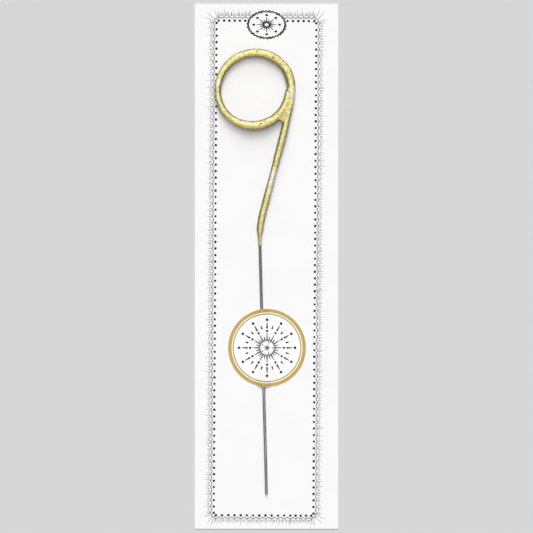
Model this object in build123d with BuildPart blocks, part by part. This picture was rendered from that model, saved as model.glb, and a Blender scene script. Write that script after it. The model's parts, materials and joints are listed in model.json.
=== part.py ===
from build123d import *
import os
from math import asin, cos, degrees, radians, sin, tan

# A golden sparkler in the shape of the numeral 9, held on a printed backing card by a round paper seal.
# It lies on its back: X is the card's width, Y its length and Z its face.
# The origin is at the middle of the card's underside.
# Lengths are in millimetres and angles in degrees.

# Backing card
card_width = 76.2
card_length = 279.4
card_thickness = 0.5

# Round paper seal, stuck over the wire
seal_diameter = 41.6
seal_thickness = 0.12
seal_x = 0.3
seal_y = -43.3
flank_angle = 24.0
foot_radius = 1.5

# Where the wand lies on the card
tip_x = 0.0
tip_y = -121.1
stick_angle = 1.5
lie_gap = 0.1

# Steel wire, in the order in which it is bent, from the cut tip to the tucked end
wire_diameter = 1.5
lift_margin = 3.0
lift_length = 20.0
neck_length = 14.55
bend_radius = 50.0
stem_angle = 16.1
stem_length = 35.6
nod_length = 20.0
nod_angle = 3.6
shoulder_radius = 38.0
shoulder_angle = 25.0
crook_radius = 16.6
crook_angle = 35.0
crown_radius = 19.9
crown_angle = 149.0
tuck_pitch = 2.7
tuck_angle = 14.0

# Sparkling coat, dipped and dried on the wire
coat_lap = 3.8
heel_length = 10.7
film_thickness = 0.12
stem_coat_radius = 1.85
loop_coat_radius = 2.4

# Girth of the coat as shares of its full radius, at even steps along each stretch
heel_girth_shares = (0.0, 0.0, 0.02, 0.14, 0.5, 0.8, 0.92, 0.96)
stem_girth_shares = (0.97, 0.98, 0.9, 0.89, 0.96, 1.02, 0.95, 0.76)
shoulder_girth_shares = (0.63, 0.75, 0.9, 0.97)
crook_girth_shares = (0.97, 0.95, 0.91)
crown_girth_shares = (1.02, 0.98, 0.96, 0.89, 0.9, 0.83, 0.79, 0.75, 0.7, 0.72)
belly_girth_shares = (0.73, 0.75, 0.83, 0.99, 1.05, 1.05, 0.98)
tuck_girth_shares = (0.94, 0.91, 0.88, 0.8, 0.6)

# Pool of coat between the loop and the stem, its corners as shares of each stretch of wire
pool_depth = 2.8
pool_nod_share = 0.67
pool_shoulder_share = 0.3
pool_belly_share = 0.695
pool_closing_share = 0.84

# Share of the belly's length at which the coat over the tucked end takes over
tuck_share = 0.65

# Worked out from the sizes above
wire_radius = wire_diameter / 2
seal_radius = seal_diameter / 2
shoulder_cos = cos(radians(shoulder_angle))
crook_cos = cos(radians(shoulder_angle + crook_angle))
crown_cos = cos(radians(shoulder_angle + crook_angle + crown_angle))
shoulder_drift = shoulder_radius * (1 - shoulder_cos)
crook_drift = crook_radius * (shoulder_cos - crook_cos)
crown_drift = crown_radius * (crook_cos - crown_cos)

# The last arc brings the wire back beside the stem, at the tuck's pitch from it
belly_angle = 360 - shoulder_angle - crook_angle - crown_angle + tuck_angle
belly_radius = (shoulder_drift + crook_drift + crown_drift - tuck_pitch) / (1 - crown_cos)

# Directions along and across the stick, in the plane of the card
along = Vector(-sin(radians(stick_angle)), cos(radians(stick_angle)), 0)
across = Vector(cos(radians(stick_angle)), sin(radians(stick_angle)), 0)
tip = Vector(tip_x, tip_y, card_thickness + lie_gap + wire_radius)
seal_centre = Vector(seal_x, seal_y, card_thickness)

# The wire lies flat under the seal, then rises so that the heel of the coat clears the card,
# and nods down again below the loop, whose crown comes back near the card
seal_reach = (seal_centre - tip).dot(along)
lift_start = seal_reach + seal_radius + lift_margin
stick_length = lift_start + lift_length + neck_length
coat_start = stick_length - coat_lap
heel = coat_start + heel_length
lift_angle = degrees(asin((stem_coat_radius - wire_radius) / (heel - lift_start - lift_length / 2)))
lift_radius = lift_length / radians(lift_angle)
nod_radius = nod_length / radians(nod_angle)

# Route of the wire: the flat stick and its lift in an upright plane, the stem in a plane that tilts up,
# the nod in an upright plane along the stem, and the loop in a plane that tilts down but is level across
side_plane = Plane(origin=tip, x_dir=along, z_dir=across)
with BuildLine(side_plane) as stick_route:
    flat = Line((0, 0), (lift_start, 0))
    lift = JernArc(flat @ 1, flat % 1, lift_radius, lift_angle)

rise = lift % 1
head_plane = Plane(origin=lift @ 1, x_dir=across, z_dir=across.cross(rise))
with BuildLine(head_plane) as stem_route:
    neck = Line((0, 0), (0, neck_length))
    bend = JernArc(neck @ 1, neck % 1, bend_radius, -stem_angle)
    stem = Line(bend @ 1, bend @ 1 + (bend % 1) * stem_length)

ascent = stem % 1
nod_plane = Plane(origin=stem @ 1, x_dir=ascent, z_dir=ascent.cross(head_plane.z_dir))
with BuildLine(nod_plane) as nod_route:
    nod = JernArc(stem @ 1, ascent, nod_radius, -nod_angle)

level = Vector(1, 0, 0)
loop_plane = Plane(origin=nod @ 1, x_dir=level, z_dir=level.cross(nod % 1))
with BuildLine(loop_plane) as loop_route:
    shoulder = JernArc(nod @ 1, nod % 1, shoulder_radius, shoulder_angle)
    crook = JernArc(shoulder @ 1, shoulder % 1, crook_radius, crook_angle)
    crown = JernArc(crook @ 1, crook % 1, crown_radius, crown_angle)
    belly = JernArc(crown @ 1, crown % 1, belly_radius, belly_angle)

wire_route = Wire(stick_route.edges() + stem_route.edges() + nod_route.edges() + loop_route.edges())

# Distances along the wire at which its stretches end
stem_end = stick_length + bend.length + stem.length + nod.length
shoulder_end = stem_end + shoulder.length
crook_end = shoulder_end + crook.length
crown_end = crook_end + crown.length
tuck_start = crown_end + belly.length * tuck_share
wire_end = crown_end + belly.length

# Side of the wire on which a lofted tube has its seam, away from where the tubes meet
outward = 1


def spread(start, end, girth_shares, full_radius):
    """Distances along the wire, at even steps after start, each with the coat's radius there."""
    step = (end - start) / len(girth_shares)
    return [(start + step * (k + 1), full_radius * share) for k, share in enumerate(girth_shares)]


def girths(stations, seam_side):
    """The coat's round sections, square to the wire at the given distances from its tip."""
    sections = []
    for distance, radius in stations:
        origin = wire_route.position_at(distance, position_mode=PositionMode.LENGTH)
        heading = wire_route.tangent_at(distance, position_mode=PositionMode.LENGTH)
        seam = heading.cross(head_plane.z_dir) * seam_side
        with BuildSketch(Plane(origin=origin, x_dir=seam, z_dir=heading)) as girth:
            Circle(radius)
        sections.append(girth.sketch)
    return sections


# Backing card
with BuildPart() as backing_card:
    with BuildSketch():
        Rectangle(card_width, card_length)
    extrude(amount=card_thickness)
backing_card.part.label = "backing_card"

# Round seal: flat where it sticks to the card, and tented over the wire
ridge_radius = wire_radius + lie_gap
ridge_height = ridge_radius + ridge_radius / cos(radians(flank_angle))
foot_reach = ridge_height / tan(radians(flank_angle))
ridge_origin = tip + along * seal_reach
ridge_plane = Plane(
    origin=(ridge_origin.X, ridge_origin.Y, card_thickness), x_dir=across, z_dir=-along
)
with BuildPart() as round_seal:
    with BuildSketch(ridge_plane):
        with BuildLine():
            underside = FilletPolyline(
                (-seal_diameter, 0),
                (-foot_reach, 0),
                (0, ridge_height),
                (foot_reach, 0),
                (seal_diameter, 0),
                radius=[foot_radius, ridge_radius, foot_radius],
            )
            offset(underside, amount=seal_thickness, side=Side.LEFT)
        make_face()
    extrude(amount=seal_diameter, both=True)
    with BuildSketch(Plane(origin=seal_centre)):
        Circle(seal_radius)
    extrude(amount=seal_diameter, mode=Mode.INTERSECT)
round_seal.part.label = "round_seal"

# Wire core, one bent length
with BuildPart() as wire_core:
    with BuildSketch(Plane(origin=tip, x_dir=across, z_dir=along)):
        Circle(wire_radius)
    sweep(path=wire_route)
wire_core.part.label = "wire_core"

# Composition coat: one swelling tube up the stem and round the loop, a second over the tucked end,
# and the pool where they meet
film_radius = wire_radius + film_thickness
heel_swell = stem_coat_radius - film_radius
main_stations = [(coat_start, film_radius)]
for distance, swell in spread(coat_start, heel, heel_girth_shares, heel_swell):
    main_stations.append((distance, film_radius + swell))
main_stations += spread(heel, stem_end, stem_girth_shares, stem_coat_radius)
main_stations += spread(stem_end, shoulder_end, shoulder_girth_shares, loop_coat_radius)
main_stations += spread(shoulder_end, crook_end, crook_girth_shares, loop_coat_radius)
main_stations += spread(crook_end, crown_end, crown_girth_shares, loop_coat_radius)
main_stations += spread(crown_end, tuck_start, belly_girth_shares, loop_coat_radius)
tuck_stations = main_stations[-1:] + spread(tuck_start, wire_end, tuck_girth_shares, loop_coat_radius)
pool_points = [
    nod @ pool_nod_share,
    shoulder @ pool_shoulder_share,
    belly @ pool_closing_share,
    belly @ pool_belly_share,
]
pool_corners = [loop_plane.to_local_coords(point) for point in pool_points]

with BuildPart() as composition_coat:
    loft(girths(main_stations, outward))
    loft(girths(tuck_stations, -outward))
    with Locations(belly @ 1):
        Sphere(tuck_stations[-1][1])
    with BuildSketch(loop_plane):
        with BuildLine():
            Polyline([(corner.X, corner.Y) for corner in pool_corners], close=True)
        make_face()
    extrude(amount=pool_depth / 2, both=True)
    add(wire_core.part, mode=Mode.SUBTRACT)
composition_coat.part.label = "composition_coat"

os.makedirs("parts", exist_ok=True)
export_step(backing_card.part, "parts/backing_card.step")
export_step(round_seal.part, "parts/round_seal.step")
export_step(wire_core.part, "parts/wire_core.step")
export_step(composition_coat.part, "parts/composition_coat.step")
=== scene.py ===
"""Dresses a carded numeral sparkler: printed card, paper seal, drawn wire and gilded coat.

Pieces are sized and built in millimetres and then scaled to the frame's metres. The finishes
work in metres.
"""
import json
import logging
import math
from collections.abc import Iterator
from contextlib import contextmanager
from dataclasses import dataclass
from enum import Enum
from functools import reduce
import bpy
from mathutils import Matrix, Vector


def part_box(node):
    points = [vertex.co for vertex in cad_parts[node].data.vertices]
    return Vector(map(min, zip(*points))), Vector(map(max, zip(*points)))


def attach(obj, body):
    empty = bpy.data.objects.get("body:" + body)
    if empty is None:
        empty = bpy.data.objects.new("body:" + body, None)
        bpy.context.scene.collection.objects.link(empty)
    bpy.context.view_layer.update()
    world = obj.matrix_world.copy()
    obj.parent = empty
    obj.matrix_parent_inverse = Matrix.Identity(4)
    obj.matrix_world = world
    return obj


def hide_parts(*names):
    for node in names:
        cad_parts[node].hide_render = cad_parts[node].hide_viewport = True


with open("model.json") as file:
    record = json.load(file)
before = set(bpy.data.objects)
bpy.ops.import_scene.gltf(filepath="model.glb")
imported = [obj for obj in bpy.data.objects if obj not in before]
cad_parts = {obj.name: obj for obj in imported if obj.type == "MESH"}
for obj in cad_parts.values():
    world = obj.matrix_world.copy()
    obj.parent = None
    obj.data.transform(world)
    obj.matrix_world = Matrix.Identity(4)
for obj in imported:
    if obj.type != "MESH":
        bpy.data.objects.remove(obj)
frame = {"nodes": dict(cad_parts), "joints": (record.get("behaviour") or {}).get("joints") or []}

from types import SimpleNamespace

import bmesh
import bpy
from mathutils import Matrix, Vector

log = logging.getLogger("sparkler")

METRES_PER_MM = 0.001
MEAN_NOISE = 0.5
FULL_TURN = 2 * math.pi
UP = (0.0, 0.0, 1.0)
DOWN = (0.0, 0.0, -1.0)

Material = bpy.types.Material
Mesh = bpy.types.Mesh
Node = bpy.types.Node
Thing = bpy.types.Object
Socket = bpy.types.NodeSocket
Number = float | Socket
Pair = tuple[float, float]
Triple = tuple[float, float, float]
Colour = tuple[float, float, float, float]


class Ink(Enum):
    """The printing inks of the card and the seal."""

    BLACK = "black"
    DARK = "dark"
    GREY = "grey"
    PALE = "pale"
    GOLD = "gold"
    FINE_GOLD = "fine_gold"


@dataclass(frozen=True)
class Rise:
    """A smooth change from one level to another while some value goes from low to high."""

    low: float
    high: float
    start: float = 0.0
    end: float = 1.0


@dataclass(frozen=True)
class Noise:
    """A fractal noise: its scale, its detail and its roughness."""

    scale: float
    detail: float
    roughness: float = 0.5


class NodeSheet:
    """A node tree while it is wired up."""

    def __init__(self, tree: bpy.types.NodeTree) -> None:
        """Keeps the tree."""
        self.tree = tree

    def add(self, kind: str, inputs: dict | None = None, **settings: object) -> Node:
        """Adds a node, sets it up and links it.

        Args:
            kind: The node's type name.
            inputs: For each input, by name or number, a plain value or the output that feeds it.
            **settings: The node's own settings.

        Returns:
            The new node.
        """
        node = self.tree.nodes.new(kind)
        for name, value in settings.items():
            setattr(node, name, value)
        for key, value in (inputs or {}).items():
            self.feed(node.inputs[key], value)
        return node

    def feed(self, target: Socket, value: object) -> None:
        """Links an output to an input, or sets the input to a plain value.

        Args:
            target: The input.
            value: The output or the plain value.
        """
        if isinstance(value, Socket):
            self.tree.links.new(value, target)
        else:
            target.default_value = value

    def out(self, kind: str, inputs: dict | None = None, which: int | str = 0, **settings: object) -> Socket:
        """Adds a node, as add does, and returns the output of that number or name."""
        return self.add(kind, inputs, **settings).outputs[which]

    def math(self, operation: str, *values: Number) -> Socket:
        """The result of a math node."""
        return self.out("ShaderNodeMath", dict(enumerate(values)), operation=operation)

    def total(self, *values: Number) -> Socket:
        """Numbers added up."""
        return reduce(lambda so_far, value: self.math("ADD", so_far, value), values)

    def product(self, *values: Number) -> Socket:
        """Numbers multiplied."""
        return reduce(lambda so_far, value: self.math("MULTIPLY", so_far, value), values)

    def less(self, whole: Number, *parts: Number) -> Socket:
        """A number with others taken from it."""
        return reduce(lambda so_far, part: self.math("SUBTRACT", so_far, part), parts, whole)

    def between(self, first: Number, second: Number, share: Socket) -> Socket:
        """The number at a share of the way from a first one to a second."""
        return self.total(first, self.product(share, self.less(second, first)))

    def vector(self, operation: str, *values: Triple | Socket, which: int = 0) -> Socket:
        """The result of a vector math node."""
        return self.out("ShaderNodeVectorMath", dict(enumerate(values)), which, operation=operation)

    def scaled(self, vector: Socket, factor: Number) -> Socket:
        """A vector times a number."""
        return self.out("ShaderNodeVectorMath", {0: vector, "Scale": factor}, operation="SCALE")

    def combined(self, x: Number = 0.0, y: Number = 0.0, z: Number = 0.0) -> Socket:
        """The vector of three numbers."""
        return self.out("ShaderNodeCombineXYZ", {0: x, 1: y, 2: z})

    def parts(self, vector: Socket) -> list[Socket]:
        """The three numbers of a vector."""
        return list(self.add("ShaderNodeSeparateXYZ", {0: vector}).outputs)

    def ramp(self, value: Number, rise: Rise) -> Socket:
        """The level that a rise has at a value."""
        span = {"From Min": rise.low, "From Max": rise.high, "To Min": rise.start, "To Max": rise.end}
        return self.out("ShaderNodeMapRange", {"Value": value, **span}, interpolation_type="SMOOTHSTEP")

    def noise(self, pattern: Noise, place: Socket) -> Socket:
        """A noise's value at a place, from 0 to 1."""
        sizes = {"Scale": pattern.scale, "Detail": pattern.detail, "Roughness": pattern.roughness}
        return self.out("ShaderNodeTexNoise", {"Vector": place, **sizes})

    def blend(self, share: Number, first: Socket | Colour, second: Socket | Colour) -> Socket:
        """Two colours mixed by the second one's share."""
        # The node's colour sockets come after those for numbers and vectors.
        return self.out("ShaderNodeMix", {0: share, 6: first, 7: second}, 2, data_type="RGBA")

    def layered(self, base: Socket | Colour, *layers: tuple[Number, Colour]) -> Socket:
        """A colour under others, each with the share of it that shows."""
        return reduce(lambda below, layer: self.blend(layer[0], below, layer[1]), layers, base)


@dataclass(frozen=True)
class Relief:
    """How far a pattern stands out in the shading, and how strongly it shows."""

    depth: float
    strength: float


class Shader(NodeSheet):
    """A material while it is wired up, with its main shader and the place on its piece."""

    def __init__(self, name: str) -> None:
        """Starts a material.

        Args:
            name: The material's name.
        """
        self.material = bpy.data.materials.new(name)
        self.material.use_nodes = True
        super().__init__(self.material.node_tree)
        self.surface = self.tree.nodes["Principled BSDF"]
        self.place = self.out("ShaderNodeTexCoord", which="Object")

    def stretched(self, scale: Triple) -> Socket:
        """The place on the piece, stretched for a pattern that runs one way."""
        return self.out("ShaderNodeMapping", {"Vector": self.place, "Scale": scale})

    def bump(self, height: Socket, relief: Relief) -> None:
        """Raises the surface's shading by a height from 0 to 1."""
        inputs = {"Height": height, "Distance": relief.depth, "Strength": relief.strength}
        self.feed(self.surface.inputs["Normal"], self.out("ShaderNodeBump", inputs))

    def finish(
        self, colour: Socket | Colour, roughness: Number, gloss: float, metal: Number = 0.0
    ) -> Material:
        """Sets up the surface.

        Args:
            colour: Its colour.
            roughness: Its roughness.
            gloss: Its specular level.
            metal: Its share of metal.

        Returns:
            The finished material.
        """
        names = ("Base Color", "Roughness", "Specular IOR Level", "Metallic")
        for name, value in zip(names, (colour, roughness, gloss, metal)):
            self.feed(self.surface.inputs[name], value)
        return self.material


@dataclass(frozen=True)
class CardStock:
    """Smooth white card with a faint cloudiness and fibre."""

    face: Colour = (0.93, 0.925, 0.928, 1.0)
    cloud: Colour = (0.905, 0.9, 0.905, 1.0)
    clouds: Noise = Noise(45.0, 4.0)
    cloud_share: Rise = Rise(0.35, 0.7, 0.0, 0.7)
    fibres: Noise = Noise(2600.0, 3.0, 0.6)
    fibre_stretch: Triple = (1.0, 0.35, 1.0)
    fibre_share: Rise = Rise(0.4, 0.75, 0.0, 0.3)
    relief: Relief = Relief(0.00002, 0.25)
    roughness: float = 0.62
    gloss: float = 0.3

    def make(self) -> Material:
        """Builds the material."""
        shader = Shader("card_stock_finish")
        clouds = shader.noise(self.clouds, shader.place)
        fibres = shader.noise(self.fibres, shader.stretched(self.fibre_stretch))
        shader.bump(fibres, self.relief)
        tone = shader.total(shader.ramp(clouds, self.cloud_share), shader.ramp(fibres, self.fibre_share))
        return shader.finish(shader.blend(tone, self.face, self.cloud), self.roughness, self.gloss)


@dataclass(frozen=True)
class SealPaper:
    """Satin white label paper."""

    face: Colour = (0.97, 0.965, 0.965, 1.0)
    shade: Colour = (0.945, 0.94, 0.945, 1.0)
    grain: Noise = Noise(1500.0, 3.0)
    shade_share: Rise = Rise(0.45, 0.8)
    relief: Relief = Relief(0.00001, 0.2)
    roughness: float = 0.42
    gloss: float = 0.4

    def make(self) -> Material:
        """Builds the material."""
        shader = Shader("seal_paper_finish")
        grain = shader.noise(self.grain, shader.place)
        shader.bump(grain, self.relief)
        colour = shader.blend(shader.ramp(grain, self.shade_share), self.face, self.shade)
        return shader.finish(colour, self.roughness, self.gloss)


@dataclass(frozen=True)
class PrintInk:
    """Printing ink, worn thin in places."""

    ink: Ink
    full: Colour
    thin: Colour
    wear: Noise = Noise(900.0, 3.0)
    thin_share: Rise = Rise(0.45, 0.7)
    roughness: float = 0.7
    gloss: float = 0.15

    def make(self) -> Material:
        """Builds the material."""
        shader = Shader(f"{self.ink.value}_ink")
        wear = shader.ramp(shader.noise(self.wear, shader.place), self.thin_share)
        return shader.finish(shader.blend(wear, self.full, self.thin), self.roughness, self.gloss)


@dataclass(frozen=True)
class GoldInk:
    """Ochre gold ink with a soft metallic lustre and faint blotches."""

    ink: Ink = Ink.GOLD
    full: Colour = (0.5, 0.325, 0.085, 1.0)
    pale: Colour = (0.56, 0.38, 0.115, 1.0)
    blotches: Noise = Noise(420.0, 4.0)
    pale_share: Rise = Rise(0.35, 0.7)
    roughness: Rise = Rise(0.0, 1.0, 0.55, 0.7)
    gloss: float = 0.2
    metal: float = 0.1

    def make(self) -> Material:
        """Builds the material."""
        shader = Shader(f"{self.ink.value}_ink")
        blotch = shader.ramp(shader.noise(self.blotches, shader.place), self.pale_share)
        colour = shader.blend(blotch, self.full, self.pale)
        return shader.finish(colour, shader.ramp(blotch, self.roughness), self.gloss, self.metal)


@dataclass(frozen=True)
class DrawnSteel:
    """Uncoated drawn wire, dull grey with fine streaks along it, painted shade that darkens it towards the
    head, and residue where the coat begins.
    """

    dark: Colour = (0.075, 0.078, 0.076, 1.0)
    light: Colour = (0.23, 0.23, 0.226, 1.0)
    residue: Colour = (0.1, 0.085, 0.035, 1.0)
    streaks: Noise = Noise(2400.0, 3.0, 0.6)
    streak_stretch: Triple = (1.0, 0.015, 1.0)
    streak_share: Rise = Rise(0.3, 0.7)
    relief: Relief = Relief(0.00002, 0.4)
    spots: Noise = Noise(700.0, 3.0)
    spot_share: Rise = Rise(0.2, 0.6, 0.5, 1.0)
    # Painted shade along the wire, darker towards the head.
    dulling: Rise = Rise(-0.05, -0.01, 1.0, 0.45)
    residue_edge: Rise = Rise(0.0085, 0.0112)
    residue_stray: float = 0.0015
    roughness: Rise = Rise(0.3, 0.7, 0.34, 0.52)
    gloss: float = 0.5
    metal: Rise = Rise(0.0, 1.0, 0.85, 0.1)

    def make(self) -> Material:
        """Builds the material."""
        shader = Shader("drawn_steel")
        streaks = shader.noise(self.streaks, shader.stretched(self.streak_stretch))
        shader.bump(streaks, self.relief)
        spots = shader.noise(self.spots, shader.place)
        along = shader.parts(shader.place)[1]
        tone = shader.product(
            shader.ramp(streaks, self.streak_share),
            shader.ramp(spots, self.spot_share),
            # Painted shade: the wire darkens towards the head.
            shader.ramp(along, self.dulling),
        )
        reach = shader.total(along, shader.product(spots, self.residue_stray))
        residue = shader.ramp(reach, self.residue_edge)
        colour = shader.blend(residue, shader.blend(tone, self.dark, self.light), self.residue)
        roughness, metal = shader.ramp(spots, self.roughness), shader.ramp(residue, self.metal)
        return shader.finish(colour, roughness, self.gloss, metal)


@dataclass(frozen=True)
class GildedComposition:
    """Dried gold sparkler composition, pale on top, with painted shade that turns its flanks olive brown."""

    gold: Colour = (0.55, 0.455, 0.115, 1.0)
    pale: Colour = (0.81, 0.75, 0.25, 1.0)
    tan: Colour = (0.38, 0.28, 0.09, 1.0)
    # Painted glints: pale specks scattered by the grain.
    speck: Colour = (0.95, 0.93, 0.54, 1.0)
    fleck: Colour = (0.26, 0.2, 0.07, 1.0)
    film: Colour = (0.5, 0.47, 0.15, 1.0)
    # Painted shade: the two olive brown colours below are laid on the flanks, where the surface turns away
    # from above, in place of gold.
    olive: Colour = (0.095, 0.07, 0.023, 1.0)
    bare: Colour = (0.2, 0.155, 0.055, 1.0)
    # Whitish colour of spots that are partly chalky and partly painted highlight.
    chalk: Colour = (0.9, 0.93, 0.86, 1.0)
    # Painted shade: near black, laid in the sunk pits and pinholes.
    pit: Colour = (0.07, 0.055, 0.03, 1.0)
    mottle: Noise = Noise(1050.0, 4.0, 0.6)
    stain: Noise = Noise(520.0, 3.0, 0.6)
    grain: Noise = Noise(1500.0, 3.0, 0.65)
    pale_share: Rise = Rise(0.44, 0.56)
    tan_share: Rise = Rise(0.52, 0.64, 0.0, 0.7)
    speck_share: Rise = Rise(0.56, 0.61, 0.0, 0.9)
    fleck_share: Rise = Rise(0.37, 0.42, 0.5, 0.0)
    film_share: Rise = Rise(0.0, 1.0, 0.75, 0.0)
    bare_share: Rise = Rise(0.42, 0.62)
    chalk_grip: Rise = Rise(0.4, 0.55, 0.35, 1.0)
    relief: Relief = Relief(0.00015, 0.6)
    roughness: Rise = Rise(0.3, 0.7, 0.55, 0.35)
    gloss: float = 0.8
    metal: float = 0.1

    def make(self) -> Material:
        """Builds the material, which reads the shares that the coat's tree stores."""
        shader = Shader("gilded_composition")
        gilding, pitting, chalking, cover, lee = (
            shader.out("ShaderNodeAttribute", which="Fac", attribute_name=name)
            for name in ("gilding", "pitting", "chalking", "cover", "lee")
        )
        mottle, stain, grain = (
            shader.noise(pattern, shader.place) for pattern in (self.mottle, self.stain, self.grain)
        )
        shader.bump(grain, self.relief)
        gilt = shader.layered(
            self.gold,
            (shader.ramp(mottle, self.pale_share), self.pale),
            (shader.ramp(stain, self.tan_share), self.tan),
            # Painted glints: pale specks where the grain is high.
            (shader.ramp(grain, self.speck_share), self.speck),
            (shader.ramp(grain, self.fleck_share), self.fleck),
            (shader.ramp(cover, self.film_share), self.film),
        )
        # Painted shade: gold where the surface faces up, the olive brown flanks where it turns sideways or
        # down.
        shaded_flank = shader.blend(shader.ramp(stain, self.bare_share), self.olive, self.bare)
        colour = shader.layered(
            shader.blend(gilding, shaded_flank, gilt),
            # Painted shade: tan on the side away from the lamps and in the crotch of loop and stem.
            (lee, self.tan),
            # Partly chalky spots and partly painted highlight: whitish patches on top-facing places.
            (shader.product(chalking, shader.ramp(grain, self.chalk_grip)), self.chalk),
            # Painted shade in the sunk pits and pinholes.
            (pitting, self.pit),
        )
        return shader.finish(colour, shader.ramp(grain, self.roughness), self.gloss, self.metal)


@contextmanager
def reworked(mesh: Mesh) -> Iterator[bmesh.types.BMesh]:
    """A mesh opened for editing and written back at the end.

    Args:
        mesh: The mesh.

    Returns:
        The open mesh.
    """
    work = bmesh.new()
    work.from_mesh(mesh)
    yield work
    work.to_mesh(mesh)
    work.free()


def link_object(name: str, data: bpy.types.ID) -> Thing:
    """Puts an object into the scene.

    Args:
        name: The object's name.
        data: Its mesh, lamp or camera.

    Returns:
        The object, at the origin.
    """
    made = bpy.data.objects.new(name, data)
    bpy.context.scene.collection.objects.link(made)
    bpy.context.view_layer.update()
    return made


def applied(holder: Thing) -> Mesh:
    """The plain mesh that an object's modifiers make. The object itself goes.

    Args:
        holder: The object.

    Returns:
        The mesh.
    """
    graph = bpy.context.evaluated_depsgraph_get()
    made = bpy.data.meshes.new_from_object(holder.evaluated_get(graph))
    holder.modifiers.clear()
    bpy.data.objects.remove(holder)
    return made


def path_mesh(points: list[Vector], closed: bool = False) -> Mesh:
    """A mesh of edges from point to point.

    Args:
        points: The points.
        closed: Whether the last joins the first.

    Returns:
        The mesh.
    """
    count = len(points)
    mesh = bpy.data.meshes.new("path")
    mesh.from_pydata(points, [(k, (k + 1) % count) for k in range(count if closed else count - 1)], [])
    return mesh


def joined(meshes: list[Mesh], placement: Matrix) -> Mesh:
    """One mesh of several, placed and scaled to metres.

    Args:
        meshes: The meshes, all of one material.
        placement: Where they go.

    Returns:
        The joined mesh, in metres.
    """
    result = bpy.data.meshes.new("joined")
    with reworked(result) as whole:
        for mesh in meshes:
            whole.from_mesh(mesh)
    for material in meshes[0].materials:
        result.materials.append(material)
    result.transform(Matrix.Scale(METRES_PER_MM, 4) @ placement)
    return result


def settle(mesh: Mesh, name: str, body: str) -> Thing:
    """Adds a finished piece to the object.

    Args:
        mesh: The piece's mesh, in metres.
        name: The piece's name.
        body: The body that it rides on.

    Returns:
        The piece.
    """
    piece = link_object(name, mesh)
    mesh.name = name
    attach(piece, body)
    log.info("%s: %d faces, on body %s", name, len(mesh.polygons), body)
    return piece


def settle_print(name: str, parts: list[Mesh], placement: Matrix) -> None:
    """Adds a print made of several parts, which rides on the card."""
    settle(joined(parts, placement), name, "card")


def repaint(node: str, material: Material) -> None:
    """Gives a node of the frame a finish."""
    frame["nodes"][node].material_slots[0].material = material
    log.info("%s: %s", node, material.name)


def corners_mm(node: str) -> tuple[Vector, Vector]:
    """The lowest and highest corner of a node of the frame, in millimetres."""
    low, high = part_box(node)
    return low / METRES_PER_MM, high / METRES_PER_MM


def copy_mm(*nodes: str) -> Mesh:
    """Nodes of the frame as one merged mesh in millimetres.

    Args:
        *nodes: The nodes' names.

    Returns:
        The merged copy.
    """
    merge_distance = 0.0001
    result = bpy.data.meshes.new("copy")
    with reworked(result) as whole:
        for node in nodes:
            whole.from_mesh(frame["nodes"][node].data)
        bmesh.ops.scale(whole, vec=Vector((1, 1, 1)) / METRES_PER_MM, verts=whole.verts)
        bmesh.ops.remove_doubles(whole, verts=whole.verts, dist=merge_distance)
    return result


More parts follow.
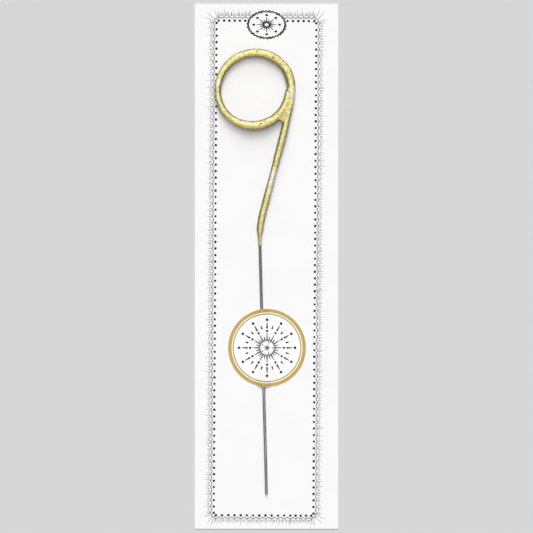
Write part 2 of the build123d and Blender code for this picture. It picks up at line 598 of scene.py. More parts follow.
class GeometryTree(NodeSheet):
    """A geometry tree with named inputs, run on a starting mesh."""

    def __init__(self, name: str) -> None:
        """Starts a tree.

        Args:
            name: The tree's name.
        """
        super().__init__(bpy.data.node_groups.new(name, "GeometryNodeTree"))
        for way in ("INPUT", "OUTPUT"):
            self.tree.interface.new_socket("Geometry", in_out=way, socket_type="NodeSocketGeometry")
        self.entry = self.add("NodeGroupInput")
        self.painter = self.add("GeometryNodeSetMaterial")
        self.add("NodeGroupOutput", {0: self.painter.outputs[0]})
        self.values: dict[str, object] = {}

    def take(self, **values: float | int | Thing) -> SimpleNamespace:
        """Adds named inputs with the values that the tree is run with.

        Args:
            **values: The value of each input, under its name with underscores for spaces.

        Returns:
            The sockets that carry them in the tree, under the same names.
        """
        carried = SimpleNamespace()
        for name, value in values.items():
            label = name.replace("_", " ").capitalize()
            kind = {int: "Int", float: "Float"}.get(type(value), "Object")
            made = self.tree.interface.new_socket(label, in_out="INPUT", socket_type=f"NodeSocket{kind}")
            self.values[made.identifier] = value
            setattr(carried, name, self.entry.outputs[label])
        return carried

    @property
    def start(self) -> Socket:
        """The geometry that the tree is given."""
        return self.entry.outputs["Geometry"]

    @property
    def path(self) -> Socket:
        """The geometry that the tree is given, as a curve."""
        return self.out("GeometryNodeMeshToCurve", {0: self.start})

    @property
    def position(self) -> Socket:
        """The place of each point."""
        return self.out("GeometryNodeInputPosition")

    def points_along(self, count: int | Socket) -> Node:
        """The node that puts even points along the path."""
        return self.add("GeometryNodeCurveToPoints", {"Curve": self.path, "Count": count}, mode="COUNT")

    def random(self, bounds: Pair, seed: Number) -> Socket:
        """A random number within bounds for each point."""
        # The node's number sockets come after those for vectors.
        return self.out("FunctionNodeRandomValue", {2: bounds[0], 3: bounds[1], "Seed": seed}, 1)

    def moved(self, geometry: Socket, offset: Socket) -> Socket:
        """A geometry with its points moved by an offset."""
        return self.out("GeometryNodeSetPosition", {"Geometry": geometry, "Offset": offset})

    def aligned(self, direction: Socket) -> Socket:
        """The rotation that points X along a direction."""
        return self.out("FunctionNodeAlignRotationToVector", {"Vector": direction}, axis="X")

    def turned(self, direction: Socket, turn: Socket) -> Socket:
        """The rotation that points X along a direction and then turns it about Z."""
        inputs = {"Rotation": self.aligned(direction), "Rotate By": self.combined(z=turn)}
        return self.out("FunctionNodeRotateRotation", inputs, rotation_space="LOCAL")

    def strewn(self, points: Socket, piece: Socket, **inputs: Socket) -> Socket:
        """A piece set on each of some points, with other inputs of the node by name."""
        return self.out("GeometryNodeInstanceOnPoints", {"Points": points, "Instance": piece, **inputs})

    def form_of(self, helper: Socket) -> Socket:
        """The geometry of an object that the tree takes."""
        return self.out("GeometryNodeObjectInfo", {0: helper}, "Geometry", transform_space="ORIGINAL")

    def distance(self, place: Socket, helper: Socket, element: str) -> Socket:
        """How far a place is from the points or faces of an object that the tree takes."""
        inputs = {"Geometry": self.form_of(helper), "Sample Position": place}
        return self.out("GeometryNodeProximity", inputs, "Distance", target_element=element)

    def close(self, result: Socket) -> "GeometryTree":
        """Ends the tree: makes the result's instances real and sends them to be painted."""
        self.feed(self.painter.inputs[0], self.out("GeometryNodeRealizeInstances", {0: result}))
        return self

    def run(self, start: Mesh, material: Material) -> Mesh:
        """Runs the tree on a mesh.

        Args:
            start: The mesh that it starts from.
            material: The material of what it makes.

        Returns:
            The plain mesh that comes out.
        """
        self.painter.inputs["Material"].default_value = material
        holder = link_object(self.tree.name, start)
        modifier = holder.modifiers.new(self.tree.name, "NODES")
        modifier.node_group = self.tree
        for identifier, value in self.values.items():
            modifier[identifier] = value
        return applied(holder)


@dataclass(frozen=True)
class Fringe:
    """Sizes of the strokes of a fringe, of which each pitch has a long one and short ones."""

    long: float = 3.1
    short: float = 1.5
    strokes_a_pitch: int = 4
    width: float = 0.36
    short_girth: float = 1.4
    short_gap: float = 0.45
    slant: float = 0.22
    seed: int = 11


@dataclass(frozen=True)
class Burst:
    """Sizes of a burst: its rays, the ring of dots beyond them and how finely both are cut."""

    rays: int
    inner: float
    long: float
    short: float
    width: float
    dot_ring: float
    dot_radius: float
    steps: int = 1
    sides: int = 6
    dot_rings: int = 1


@dataclass(frozen=True)
class Rope:
    """Sizes of a printed rope's strands, and their turn from its path in radians."""

    strands: int = 30
    length: float = 2.7
    width: float = 1.0
    slant: float = 0.45
    seed: int = 7


@dataclass
class InkTrees:
    """The geometry trees that lay down the printed ornaments."""

    ink_depth: float = 0.03
    dot_sides: int = 20
    dot_girths: Pair = (0.9, 1.08)
    dot_stray: float = 0.07
    dot_seed: int = 3
    arch_points: int = 10
    uneven: Pair = (0.7, 1.15)
    stroke_taper: float = 0.35
    strand_sides: int = 14
    strand_rings: int = 4

    def dots(self, count: int, radius: float) -> GeometryTree:
        """Even dots along a path.

        Args:
            count: How many dots.
            radius: Each dot's radius.

        Returns:
            The tree.
        """
        tree = GeometryTree("dots_along_path")
        given = tree.take(count=count, radius=radius, stray=self.dot_stray, seed=self.dot_seed)
        corners = {0: (-1.0, -1.0, 0.0), 1: (1.0, 1.0, 0.0), "Seed": given.seed}
        drift = tree.out("FunctionNodeRandomValue", corners, data_type="FLOAT_VECTOR")
        strayed = tree.moved(tree.points_along(given.count).outputs[0], tree.scaled(drift, given.stray))
        sizes = {"Vertices": self.dot_sides, "Radius": given.radius, "Depth": self.ink_depth}
        disc = tree.out("GeometryNodeMeshCylinder", sizes)
        return tree.close(tree.strewn(strayed, disc, Scale=tree.random(self.dot_girths, given.seed)))

    def scallop(self, arches: int, bulge: float, offset: float, width: float) -> GeometryTree:
        """A scalloped line beside a path.

        Args:
            arches: How many arches the path has.
            bulge: How far an arch rises.
            offset: How far the arches' feet stand out from the path.
            width: The line's width.

        Returns:
            The tree.
        """
        tree = GeometryTree("scallop_beside_path")
        given = tree.take(arches=float(arches), bulge=bulge, offset=offset, width=width)
        steps = arches * self.arch_points + 1
        fine = tree.out("GeometryNodeResampleCurve", {"Curve": tree.path, "Count": steps})
        along = tree.out("GeometryNodeSplineParameter", which="Factor")
        arch = tree.math("POWER", tree.math("COSINE", tree.product(along, given.arches, math.pi)), 2.0)
        reach = tree.total(given.offset, tree.product(arch, given.bulge))
        outward = tree.vector("CROSS_PRODUCT", tree.out("GeometryNodeInputTangent"), UP)
        sizes = {"Width": given.width, "Height": self.ink_depth}
        profile = tree.out("GeometryNodeCurvePrimitiveQuadrilateral", sizes)
        line = tree.moved(fine, tree.scaled(outward, reach))
        inputs = {"Curve": line, "Profile Curve": profile, "Fill Caps": True}
        return tree.close(tree.out("GeometryNodeCurveToMesh", inputs))

    def fringe(self, fringe: Fringe, pitches: int, offset: float) -> GeometryTree:
        """Fine strokes that stand out from a path, a long one at each pitch and short ones between.

        Args:
            fringe: The strokes' sizes.
            pitches: How many pitches the path has.
            offset: How far out the strokes' roots stand.

        Returns:
            The tree.
        """
        tree = GeometryTree("fringe_beside_path")
        given = tree.take(**vars(fringe), offset=offset)
        points = tree.points_along(pitches * fringe.strokes_a_pitch + 1)
        place_in_pitch = tree.math("MODULO", tree.out("GeometryNodeInputIndex"), given.strokes_a_pitch)
        is_short = tree.math("MINIMUM", place_in_pitch, 1.0)
        length = tree.between(given.long, given.short, is_short)
        length = tree.product(length, tree.random(self.uneven, given.seed))
        girth = tree.between(1.0, given.short_girth, is_short)
        gap = tree.total(given.offset, tree.product(is_short, given.short_gap))
        outward = tree.vector("CROSS_PRODUCT", points.outputs["Tangent"], UP)
        lean = tree.product(tree.random((-1.0, 1.0), tree.total(given.seed, 1.0)), given.slant)
        strokes = tree.strewn(
            tree.moved(points.outputs[0], tree.scaled(outward, gap)),
            self.stroke(tree, given.width),
            Rotation=tree.turned(outward, lean),
            Scale=tree.combined(length, girth, 1.0),
        )
        return tree.close(strokes)

    def stroke(self, tree: GeometryTree, breadth: Socket, steps: Number = 1, sides: Number = 6) -> Socket:
        """A flat tapering stroke of unit length along X.

        Args:
            tree: The tree that it is made in.
            breadth: Its width at the root.
            steps: Rings along it, for a stroke that follows a curved surface.
            sides: Sides round it, more of them for the same reason.

        Returns:
            The stroke's geometry.
        """
        half = tree.product(breadth, 0.5)
        sizes = {"Vertices": sides, "Side Segments": steps, "Radius Bottom": half, "Depth": 1.0}
        sizes["Radius Top"] = tree.product(half, self.stroke_taper)
        cone = tree.out("GeometryNodeMeshCone", sizes)
        flat = tree.combined(tree.math("DIVIDE", self.ink_depth / 2, half), 1.0, 1.0)
        lying = (0.0, FULL_TURN / 4, 0.0)
        return tree.out("GeometryNodeTransform", {"Geometry": cone, "Scale": flat, "Rotation": lying})

    def burst(self, burst: Burst) -> GeometryTree:
        """Rays round a centre, alternately long and short, with dots beyond the long ones.

        Args:
            burst: The burst's sizes.

        Returns:
            The tree.
        """
        tree = GeometryTree("burst_of_rays")
        given = tree.take(**vars(burst))
        roots, ends = (
            tree.out("GeometryNodeMeshCircle", {"Vertices": given.rays, "Radius": radius})
            for radius in (given.inner, given.dot_ring)
        )
        is_short = tree.math("MODULO", tree.out("GeometryNodeInputIndex"), 2.0)
        length = tree.between(given.long, given.short, is_short)
        strokes = tree.strewn(
            roots,
            self.stroke(tree, given.width, given.steps, given.sides),
            Rotation=tree.aligned(tree.position),
            Scale=tree.combined(length, 1.0, 1.0),
        )
        sizes = {"Vertices": self.dot_sides, "Radius": given.dot_radius, "Depth": self.ink_depth}
        sizes["Fill Segments"] = given.dot_rings
        disc = tree.out("GeometryNodeMeshCylinder", sizes, fill_type="TRIANGLE_FAN")
        dots = tree.strewn(ends, disc, Selection=tree.less(1.0, is_short))
        both = tree.add("GeometryNodeJoinGeometry")
        for part in (strokes, dots):
            tree.feed(both.inputs[0], part)
        return tree.close(both.outputs[0])

    def rope(self, rope: Rope) -> GeometryTree:
        """Slanted strands along a closed path, as a printed rope.

        Args:
            rope: The strands' sizes.

        Returns:
            The tree.
        """
        tree = GeometryTree("rope_along_path")
        given = tree.take(**vars(rope))
        points = tree.points_along(given.strands)
        sizes = {"Segments": self.strand_sides, "Rings": self.strand_rings, "Radius": 0.5}
        girth = tree.product(given.width, tree.random(self.uneven, given.seed))
        strands = tree.strewn(
            points.outputs[0],
            tree.out("GeometryNodeMeshUVSphere", sizes),
            Rotation=tree.turned(points.outputs["Tangent"], given.slant),
            Scale=tree.combined(given.length, girth, self.ink_depth),
        )
        return tree.close(strands)


@dataclass(frozen=True)
class Run:
    """A straight run of the border, counter-clockwise, from its first dot to its last."""

    start: Vector
    end: Vector
    pitches: int
    offset: float
    fringe: Fringe
    pitches_before: int = 0
    pitches_after: int = 0
    goes_on: bool = False

    @property
    def pitch(self) -> Vector:
        """The step from dot to dot."""
        return (self.end - self.start) / self.pitches

    @property
    def whole_pitches(self) -> int:
        """Pitches of the scalloped line and fringe, which go on past the dots."""
        return self.pitches_before + self.pitches + self.pitches_after

    def stretch(self) -> list[Vector]:
        """The path of the scalloped line and fringe."""
        return [self.start - self.pitch * self.pitches_before, self.end + self.pitch * self.pitches_after]

    def dotted(self) -> tuple[list[Vector], int]:
        """The path of the dots and how many lie on it, without one that the run before has laid."""
        if self.goes_on:
            return [self.start + self.pitch, self.end], self.pitches
        return [self.start, self.end], self.pitches + 1


@dataclass
class BorderPrint:
    """The dotted, scalloped and fringed border, printed a little askew on the card."""

    trees: InkTrees
    centre: Pair = (-0.78, -0.87)
    turn: float = -0.34
    half_width: float = 26.6
    half_height: float = 131.75
    corner_cut: float = 1.2
    corner_steps: int = 8
    left_pitches: int = 76
    right_pitches: int = 75
    foot_pitches: int = 12
    foot_pitches_after: int = 4
    foot_step_x: float = 14.27
    head_pitches: int = 5
    head_span: float = 14.1
    dot_radius: float = 0.68
    side_offset: float = 0.98
    head_offset: float = 1.25
    scallop_bulge: float = 0.75
    scallop_width: float = 0.44
    side_fringe: Fringe = Fringe()
    head_fringe: Fringe = Fringe(long=4.3, short=2.3, seed=5)
    foot_fringe: Fringe = Fringe(long=3.5, short=1.8, seed=9)
    corner_fringe: Fringe = Fringe(long=2.6, short=4.8, width=0.42, short_girth=1.0, short_gap=0.0)
    corner_arches: int = 2
    corner_strokes: int = 1

    def runs(self) -> list[Run]:
        """The straight runs of the border."""
        wide, tall = self.half_width, self.half_height
        near, top = wide - self.corner_cut, tall - self.corner_cut
        inner = near - self.head_span
        side, head = self.side_offset, self.head_offset
        crest, edge, foot = self.head_fringe, self.side_fringe, self.foot_fringe
        corners = [
            (near, tall), (inner, tall), (-inner, tall), (-near, tall), (-wide, top), (-wide, -top),
            (-near, -tall), (self.foot_step_x, -tall), (near, -tall), (wide, -top), (wide, top),
        ]
        ends = [Vector((x, y, 0)) for x, y in corners]
        return [
            Run(ends[0], ends[1], self.head_pitches, head, crest, pitches_after=1),
            Run(ends[2], ends[3], self.head_pitches, head, crest, pitches_before=1),
            Run(ends[4], ends[5], self.left_pitches, side, edge),
            Run(ends[6], ends[7], self.foot_pitches, side, foot),
            Run(ends[7], ends[8], self.foot_pitches_after, side, foot, goes_on=True),
            Run(ends[9], ends[10], self.right_pitches, side, edge),
        ]

    def corner(self, quarter: int) -> list[Vector]:
        """The short arc at a corner, from which the fringe fans out.

        Args:
            quarter: Which corner, counter-clockwise from the right of the head.

        Returns:
            The arc's points.
        """
        side_x = 1 if quarter in (0, 3) else -1
        side_y = 1 if quarter in (0, 1) else -1
        cut, steps = self.corner_cut, self.corner_steps
        hub = Vector((side_x * (self.half_width - cut), side_y * (self.half_height - cut), 0))
        turns = [FULL_TURN / 4 * (quarter + step / steps) for step in range(steps + 1)]
        return [hub + cut * Vector((math.cos(turn), math.sin(turn), 0)) for turn in turns]

    def build(self, height: float, inks: dict[Ink, Material]) -> None:
        """Prints the border.

        Args:
            height: The height of the card's face.
            inks: The materials of the inks.
        """
        trees, bulge = self.trees, self.scallop_bulge
        dots, lines, strokes, stretches = [], [], [], []
        for run in self.runs():
            path, count = run.dotted()
            dots.append(trees.dots(count, self.dot_radius).run(path_mesh(path), inks[Ink.BLACK]))
            pitches = run.whole_pitches
            stretches.append((run.stretch(), pitches, pitches, run.offset, run.fringe))
        corner = (self.corner_arches, self.corner_strokes, self.side_offset, self.corner_fringe)
        stretches += [(self.corner(quarter), *corner) for quarter in range(4)]
        for path, arches, pitches, offset, fringe in stretches:
            scallop = trees.scallop(arches, bulge, offset, self.scallop_width)
            lines.append(scallop.run(path_mesh(path), inks[Ink.GREY]))
            tufts = trees.fringe(fringe, pitches, offset + bulge)
            strokes.append(tufts.run(path_mesh(path), inks[Ink.PALE]))
        place = Matrix.Translation((*self.centre, height)) @ Matrix.Rotation(math.radians(self.turn), 4, "Z")
        settle_print("border_dots", dots, place)
        settle_print("border_scallop", lines, place)
        settle_print("border_fringe", strokes, place)


@dataclass
class Cartouche:
    """The oval at the card's head: a printed rope round a small burst."""

    trees: InkTrees
    centre: Pair = (0.08, 128.8)
    half_width: float = 9.95
    half_height: float = 7.1
    path_points: int = 96
    rope: Rope = Rope()
    burst_stretch: float = 1.35
    burst: Burst = Burst(rays=16, inner=0.8, long=3.2, short=2.2, width=0.85, dot_ring=5.1, dot_radius=0.6)

    def build(self, height: float, ink: Material) -> None:
        """Prints the cartouche.

        Args:
            height: The height of the card's face.
            ink: Its ink.
        """
        turns = [FULL_TURN * step / self.path_points for step in range(self.path_points)]
        oval = [Vector((self.half_width * math.cos(a), self.half_height * math.sin(a), 0)) for a in turns]
        rope = self.trees.rope(self.rope).run(path_mesh(oval, closed=True), ink)
        burst = self.trees.burst(self.burst).run(bpy.data.meshes.new("seed"), ink)
        place = Matrix.Translation((*self.centre, height))
        settle_print("cartouche_rope", [rope], place)
        settle_print("cartouche_burst", [burst], place @ Matrix.Diagonal((self.burst_stretch, 1.0, 1.0, 1.0)))


@dataclass
class BackingCard:
    """The printed card."""

    trees: InkTrees

    def build(self, inks: dict[Ink, Material]) -> None:
        """Dresses the card and prints it.

        Args:
            inks: The materials of the inks.
        """
        repaint("backing_card", CardStock().make())
        face = corners_mm("backing_card")[1].z
        BorderPrint(self.trees).build(face, inks)
        Cartouche(self.trees).build(face, inks[Ink.DARK])


@dataclass
class RoundSeal:
    """The paper seal with its gold band, fine line and burst, all laid over the wire's ridge."""

    trees: InkTrees
    band: Pair = (18.87, 20.74)
    line: Pair = (17.7, 18.35)
    ring_sides: int = 900
    probe_height: float = 20.0
    bursts: tuple[Burst, ...] = (
        Burst(
            rays=10, inner=0.2, long=1.9, short=1.2, width=0.5, dot_ring=2.9, dot_radius=0.35,
            steps=20, sides=12, dot_rings=3,
        ),
        Burst(
            rays=24, inner=3.6, long=4.3, short=2.6, width=0.9, dot_ring=9.0, dot_radius=0.65,
            steps=40, sides=12, dot_rings=6,
        ),
        Burst(
            rays=24, inner=10.3, long=3.2, short=1.9, width=1.05, dot_ring=14.9, dot_radius=0.75,
            steps=28, sides=12, dot_rings=6,
        ),
    )

    def laid(self, mesh: Mesh, material: Material, paper: Thing) -> Mesh:
        """Lays a flat print over the paper.

        Args:
            mesh: The print, flat, round the height of zero.
            material: Its ink.
            paper: The seal, in millimetres.

        Returns:
            The print, lying on the paper.
        """
        tree = GeometryTree("print_on_paper")
        given = tree.take(paper=paper, probe_height=self.probe_height)
        x, y, height = tree.parts(tree.position)
        hit = tree.add("GeometryNodeRaycast", {
            "Target Geometry": tree.form_of(given.paper),
            "Source Position": tree.combined(x, y, given.probe_height),
            "Ray Direction": DOWN,
            "Ray Length": 2 * self.probe_height,
        }).outputs
        seat = tree.vector("ADD", hit["Hit Position"], tree.combined(z=height))
        inputs = {"Geometry": tree.start, "Position": seat, "Selection": hit["Is Hit"]}
        return tree.close(tree.out("GeometryNodeSetPosition", inputs)).run(mesh, material)

    def ring(self, radii: Pair) -> Mesh:
        """A flat closed ring round the origin.

        Args:
            radii: Its inner and outer radius.

        Returns:
            The ring.
        """
        inner, outer = radii
        half, sides = self.trees.ink_depth / 2, self.ring_sides
        rims = ((outer, -half), (outer, half), (inner, half), (inner, -half))
        turns = [FULL_TURN * k / sides for k in range(sides)]
        spots = [(reach * math.cos(turn), reach * math.sin(turn), z) for reach, z in rims for turn in turns]
        faces = []
        for rim in range(len(rims)):
            low, high = rim * sides, (rim + 1) % len(rims) * sides
            for k in range(sides):
                after = (k + 1) % sides
                faces.append((low + k, low + after, high + after, high + k))
        mesh = bpy.data.meshes.new("ring")
        mesh.from_pydata(spots, [], faces)
        return mesh

    def build(self, inks: dict[Ink, Material]) -> None:
        """Dresses the seal and prints it.

        Args:
            inks: The materials of the inks.
        """
        repaint("round_seal", SealPaper().make())
        low, high = corners_mm("round_seal")
        centre = Matrix.Translation(((low.x + high.x) / 2, (low.y + high.y) / 2, 0))
        dark = inks[Ink.DARK]
        bursts = [self.trees.burst(burst).run(bpy.data.meshes.new("seed"), dark) for burst in self.bursts]
        prints = {
            "seal_band": (inks[Ink.GOLD], [self.ring(self.band)]),
            "seal_line": (inks[Ink.FINE_GOLD], [self.ring(self.line)]),
            "seal_burst": (dark, bursts),
        }
        paper = link_object("paper", copy_mm("round_seal"))
        for name, (ink, flats) in prints.items():
            for flat in flats:
                flat.transform(centre)
            laid = [self.laid(flat, ink, paper) for flat in flats]
            settle_print(name, laid, Matrix.Identity(4))
        bpy.data.objects.remove(paper)


@dataclass(frozen=True)
class Zone:
    """Places on the ground plan, and how far round each of them the coat is changed."""

    name: str
    radius: float
    places: tuple[Pair, ...]

    def points(self) -> Thing:
        """The places as an object of loose points, for a tree to read."""
        mesh = bpy.data.meshes.new(self.name)
        mesh.from_pydata([(x, y, 0.0) for x, y in self.places], [], [])
        return link_object(self.name, mesh)


@dataclass
class CompositionCoat:
    """The gilded coat: a fused skin over the frame's coat, made lumpy, granular and pitted."""

    voxel: float = 0.2
    dabs: tuple[Triple, ...] = ((12.0, 95.2, 1.25), (11.7, 93.9, 1.2))
    dab_fineness: int = 3
    filling_rounds: int = 110
    smoothing_rounds: int = 5
    seed: float = 4.0
    lumps: Noise = Noise(0.3, 2.0)
    lump_depth: float = 0.3
    grains: Noise = Noise(1.6, 4.0, 0.65)
    grain_depth: float = 0.24
    pinhole_scale: float = 0.42
    pinhole_rarity: float = 0.55
    pinhole_form: Rise = Rise(0.0, 0.2, 1.0, 0.0)
    pinhole_depth: float = 0.35
    pit_depth: float = 0.55
    clearance: float = 0.06
    covering: Rise = Rise(0.1, 0.7)
    topside: Rise = Rise(0.0, 0.4)
    fading: Rise = Rise(0.35, 1.0, 1.0, 0.0)
    chalk_side: Rise = Rise(-0.8, -0.35, 0.3, 1.0)
    chalk_share: float = 0.65
    # Painted shade at the flanks: the share of gold by the surface's turn from facing up.
    gilding: Rise = Rise(0.77, 0.94)
    gilding_stray: float = 0.4
    lengthwise_lift: float = 0.33
    # Painted shade on the sides that face into the loop:
    inwardness: Rise = Rise(-20.0, -8.0, 1.0, -1.0)
    bareness: float = 0.14
    # Painted shade on part of the outer rim at the right:
    scuffing: float = 0.22
    # Painted shade on the side that faces away from the lamps and in the crotch of loop and stem:
    leeward: Rise = Rise(0.2, 0.85, 0.0, 0.6)
    web_share: float = 0.5
    zones: tuple[Zone, ...] = (
        Zone("pits", 0.6, (
            (10.95, 93.7), (-5.2, 114.4), (-3.1, 75.8), (5.8, 81.0), (-13.8, 77.8), (3.4, 111.0), (4.9, 64.8),
        )),
        # Places of whitish spots, partly chalky and partly painted highlight, on the stem and the loop's
        # rims.
        Zone("chalk", 2.6, (
            (4.3, 50.3), (3.8, 48.4), (3.2, 46.2), (2.7, 44.4), (2.5, 40.0), (14.9, 91.8), (15.1, 89.4),
            (14.9, 87.2), (13.8, 94.2), (-26.1, 98.2),
        )),
        # Painted shade on a stretch of the loop's outer rim at the right.
        Zone("scuffs", 2.0, ((14.2, 83.2), (13.7, 80.8), (13.2, 78.4), (12.7, 76.0))),
        # Painted shade in the crotch where the loop meets the stem.
        Zone("webs", 3.0, ((9.9, 80.9), (8.9, 79.0))),
    )

    def filled(self) -> Mesh:
        """The coat with its bore filled and a dab of composition in the cleft above the tucked end."""
        mesh = copy_mm("composition_coat", "wire_core")
        wire = copy_mm("wire_core")
        with reworked(mesh) as work:
            for x, y, radius in self.dabs:
                nearest = min(wire.vertices, key=lambda v: (v.co.x - x) ** 2 + (v.co.y - y) ** 2)
                place = Matrix.Translation((x, y, nearest.co.z))
                bmesh.ops.create_icosphere(work, subdivisions=self.dab_fineness, radius=radius, matrix=place)
        return mesh

    def skin(self) -> Mesh:
        """The coat as one even mesh, cut square to the stick at its foot."""
        whole = link_object("skin", self.filled())
        remesh = whole.modifiers.new("fuse", "REMESH")
        remesh.mode = "VOXEL"
        remesh.voxel_size = self.voxel
        fused = applied(whole)
        lowest = corners_mm("composition_coat")[0].y + self.voxel / 2
        coat = copy_mm("composition_coat")
        foot = [v.co for v in coat.vertices if v.co.y < lowest]
        with reworked(fused) as work:
            cut = bmesh.ops.bisect_plane(
                work,
                geom=[*work.verts, *work.edges, *work.faces],
                plane_co=sum(foot, Vector()) / len(foot),
                plane_no=Vector(frame["joints"][0]["axis"]),
                clear_inner=True,
            )
            rim = [e for e in cut["geom_cut"] if isinstance(e, bmesh.types.BMEdge)]
            bmesh.ops.holes_fill(work, edges=rim)
            bmesh.ops.recalc_face_normals(work, faces=work.faces)
        return fused

    def smoothed(self, tree: GeometryTree, normal: Socket) -> Socket:
        """The skin with its valleys filled and its edges rounded.

        Args:
            tree: The tree that it is worked out in.
            normal: The surface's direction.

        Returns:
            The skin's geometry.
        """
        place = tree.position
        shifts = []
        for rounds, kept in ((self.filling_rounds, "MAXIMUM"), (self.smoothing_rounds, "MINIMUM")):
            inputs = {"Value": place, "Iterations": rounds}
            blurred = tree.out("GeometryNodeBlurAttribute", inputs, data_type="FLOAT_VECTOR")
            drift = tree.vector("DOT_PRODUCT", tree.vector("SUBTRACT", blurred, place), normal, which=1)
            shifts.append(tree.math(kept, drift, 0.0))
        return tree.moved(tree.start, tree.scaled(normal, tree.total(*shifts)))

    def pinholes(self, tree: GeometryTree, place: Socket) -> Socket:
        """How deep into a pinhole a place is, from 0 to 1.

        Args:
            tree: The tree that it is worked out in.
            place: The place.

        Returns:
            The share of a pinhole's depth.
        """
        inputs = {"Vector": place, "Scale": self.pinhole_scale}
        cells = tree.add("ShaderNodeTexVoronoi", inputs, feature="F1").outputs
        lot = tree.out("FunctionNodeSeparateColor", {0: cells["Color"]})
        chosen = tree.math("GREATER_THAN", lot, self.pinhole_rarity)
        return tree.product(tree.ramp(cells["Distance"], self.pinhole_form), chosen)

    def weathering(self, wire: Thing, points: dict[Zone, Thing], floor: float) -> GeometryTree:
        """Filled valleys, lumps, grains and pits, faded out where the coat is thin, and the shares of the
        coat's colours, among them painted shade and painted highlights.

        Args:
            wire: The wire, in millimetres.
            points: The points of each zone.
            floor: The height of the card's face.

        Returns:
            The tree.
        """
        tree = GeometryTree("dried_composition")
        given = tree.take(
            wire=wire, lump_depth=self.lump_depth, grain_depth=self.grain_depth,
            pinhole_depth=self.pinhole_depth, pit_depth=self.pit_depth, lowest=floor + self.clearance,
            bareness=self.bareness, seed=self.seed,
        )
        place, normal = tree.position, tree.out("GeometryNodeInputNormal")
        (x, y, z), (facing_x, facing_y, facing_z) = tree.parts(place), tree.parts(normal)
        plan = tree.combined(x, y)
        near = {}
        for zone, spots in points.items():
            zoned = tree.take(**{zone.name: spots, f"{zone.name}_radius": zone.radius})
            middles, radius = vars(zoned).values()
            reach = tree.math("DIVIDE", tree.distance(plan, middles, "POINTS"), radius)
            near[zone.name] = tree.ramp(reach, self.fading)
        cover = tree.ramp(tree.distance(place, given.wire, "FACES"), self.covering)
        on_top = tree.product(cover, tree.ramp(facing_z, self.topside))

        shifted = tree.vector("ADD", place, tree.combined(given.seed))
        lumps = tree.less(tree.noise(self.lumps, shifted), MEAN_NOISE)
        grains = tree.less(tree.noise(self.grains, shifted), MEAN_NOISE)
        pinholes = tree.product(self.pinholes(tree, shifted), cover)
        pits = tree.product(near["pits"], on_top)
        raised = tree.total(tree.product(lumps, given.lump_depth), tree.product(grains, given.grain_depth))
        sunk = tree.total(tree.product(pinholes, given.pinhole_depth), tree.product(pits, given.pit_depth))
        height = tree.less(tree.product(raised, cover), sunk)

        # Painted shade: the share of gold falls as the surface turns from facing up, less so where it faces
        # along the card, so the flanks go olive brown.
        lift = tree.total(facing_z, tree.product(tree.math("ABSOLUTE", facing_y), self.lengthwise_lift))
        # Painted shade: sides that face into the loop get less gold than those that face out.
        inner_rim_shade = tree.product(tree.ramp(x, self.inwardness), facing_x, given.bareness)
        # Painted shade: less gold along part of the outer rim at the right.
        lift = tree.less(lift, inner_rim_shade, tree.product(near["scuffs"], self.scuffing))
        # Painted shade: tan on surfaces that face away from the lamps.
        lee = tree.ramp(tree.product(facing_y, -1.0), self.leeward)
        chalk_side = tree.ramp(facing_x, self.chalk_side)
        shares = {
            "cover": cover,
            # Painted shade: the sunk pits and pinholes are darkened.
            "pitting": tree.math("MAXIMUM", pinholes, pits),
            # Partly chalky spots and partly painted highlight, weaker on left-facing sides.
            "chalking": tree.product(near["chalk"], on_top, chalk_side, self.chalk_share),
            # Painted shade: the share of gold against the olive brown flanks.
            "gilding": tree.ramp(tree.total(lift, tree.product(grains, self.gilding_stray)), self.gilding),
            # Painted shade: tan on the side away from the lamps and in the crotch.
            "lee": tree.math("MAXIMUM", lee, tree.product(near["webs"], self.web_share)),
        }
        skin = self.smoothed(tree, normal)
        for name, share in shares.items():
            inputs = {"Geometry": skin, "Name": name, "Value": share}
            skin = tree.out("GeometryNodeStoreNamedAttribute", inputs)
        rough = tree.moved(skin, tree.scaled(normal, height))
        kept_up = tree.combined(x, y, tree.math("MAXIMUM", z, given.lowest))
        clear = tree.out("GeometryNodeSetPosition", {"Geometry": rough, "Position": kept_up})
        return tree.close(tree.out("GeometryNodeSetShadeSmooth", {"Geometry": clear}))

    def build(self) -> None:
        """Makes the coat in place of the frame's plain one."""
        wire = link_object("core", copy_mm("wire_core"))
        points = {zone: zone.points() for zone in self.zones}
        tree = self.weathering(wire, points, corners_mm("backing_card")[1].z)
        coat = tree.run(self.skin(), GildedComposition().make())
        for helper in (wire, *points.values()):
            bpy.data.objects.remove(helper)
        coat.transform(Matrix.Scale(METRES_PER_MM, 4))
        piece = settle(coat, "gilded_coat", "wand")
        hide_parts("composition_coat")


@dataclass(frozen=True)
class Lamp:
    """One lamp of the fan: its lean towards the card's head, its spread and its strength."""

    lean: float
    spread: float
    strength: float


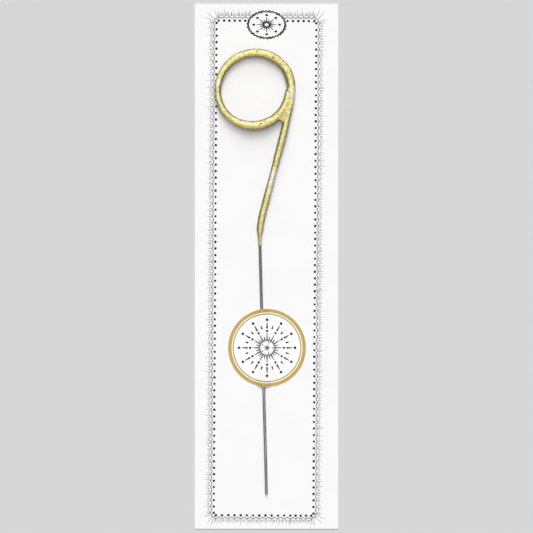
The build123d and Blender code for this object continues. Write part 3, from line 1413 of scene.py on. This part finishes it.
@dataclass
class Studio:
    """Plain floor, soft light from a fan of lamps along the card, and a long lens straight above."""

    view_width: float = 284.0
    camera_height: float = 1800.0
    sensor: float = 36.0
    sight_m: float = 100.0
    floor_half: float = 3000.0
    floor_gap: float = 0.02
    floor_colour: Colour = (0.66, 0.66, 0.66, 1.0)
    floor_roughness: float = 0.9
    floor_gloss: float = 0.1
    sky_colour: Colour = (1.0, 1.0, 1.0, 1.0)
    sky_strength: float = 0.2
    lamps: tuple[Lamp, ...] = (
        Lamp(lean=64.0, spread=22.0, strength=0.75),
        Lamp(lean=44.0, spread=22.0, strength=1.3),
        Lamp(lean=24.0, spread=22.0, strength=0.65),
        Lamp(lean=2.0, spread=26.0, strength=0.73),
    )

    def camera(self) -> None:
        """Sets up the camera."""
        data = bpy.data.cameras.new("camera")
        data.sensor_width = self.sensor
        data.lens = self.sensor * self.camera_height / self.view_width
        data.clip_end = self.sight_m
        camera = link_object("camera", data)
        camera.location = (0.0, 0.0, self.camera_height * METRES_PER_MM)
        bpy.context.scene.camera = camera

    def floor(self) -> None:
        """Lays the floor, just under the card."""
        half, z = self.floor_half * METRES_PER_MM, -self.floor_gap * METRES_PER_MM
        mesh = bpy.data.meshes.new("floor")
        corners = [(-half, -half, z), (half, -half, z), (half, half, z), (-half, half, z)]
        mesh.from_pydata(corners, [], [(0, 1, 2, 3)])
        finish = Shader("floor_finish").finish(self.floor_colour, self.floor_roughness, self.floor_gloss)
        mesh.materials.append(finish)
        link_object("floor", mesh)

    def light(self) -> None:
        """Sets up the lamps."""
        for number, lamp in enumerate(self.lamps):
            data = bpy.data.lights.new(f"lamp_{number}", "SUN")
            data.energy = lamp.strength
            data.angle = math.radians(lamp.spread)
            link_object(f"lamp_{number}", data).rotation_euler = (math.radians(-lamp.lean), 0.0, 0.0)

    def sky(self) -> None:
        """Sets up the sky, which shines less than it shows in reflections."""
        world = bpy.data.worlds.new("sky")
        world.use_nodes = True
        bpy.context.scene.world = world
        sheet = NodeSheet(world.node_tree)
        rays = sheet.add("ShaderNodeLightPath").outputs
        seen = sheet.math("MAXIMUM", rays["Is Camera Ray"], rays["Is Glossy Ray"])
        background = world.node_tree.nodes["Background"]
        sheet.feed(background.inputs["Color"], self.sky_colour)
        sheet.feed(background.inputs["Strength"], sheet.between(self.sky_strength, 1.0, seen))

    def build(self) -> None:
        """Sets up the whole studio."""
        bpy.context.scene.view_settings.view_transform = "Standard"
        self.camera()
        self.floor()
        self.light()
        self.sky()


def main() -> None:
    """Builds the studio and dresses the object."""
    logging.basicConfig(level=logging.INFO)
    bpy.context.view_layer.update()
    Studio().build()
    finishes = (
        PrintInk(Ink.BLACK, full=(0.008, 0.008, 0.009, 1.0), thin=(0.03, 0.03, 0.032, 1.0)),
        PrintInk(Ink.DARK, full=(0.014, 0.014, 0.015, 1.0), thin=(0.07, 0.07, 0.07, 1.0)),
        PrintInk(Ink.GREY, full=(0.07, 0.07, 0.07, 1.0), thin=(0.32, 0.32, 0.32, 1.0)),
        PrintInk(Ink.PALE, full=(0.14, 0.14, 0.14, 1.0), thin=(0.42, 0.42, 0.42, 1.0)),
        GoldInk(),
        GoldInk(Ink.FINE_GOLD, full=(0.36, 0.285, 0.045, 1.0), pale=(0.41, 0.33, 0.065, 1.0)),
    )
    inks = {finish.ink: finish.make() for finish in finishes}
    trees = InkTrees()
    BackingCard(trees).build(inks)
    RoundSeal(trees).build(inks)
    repaint("wire_core", DrawnSteel().make())
    CompositionCoat().build()


if __name__ == "__main__":
    main()
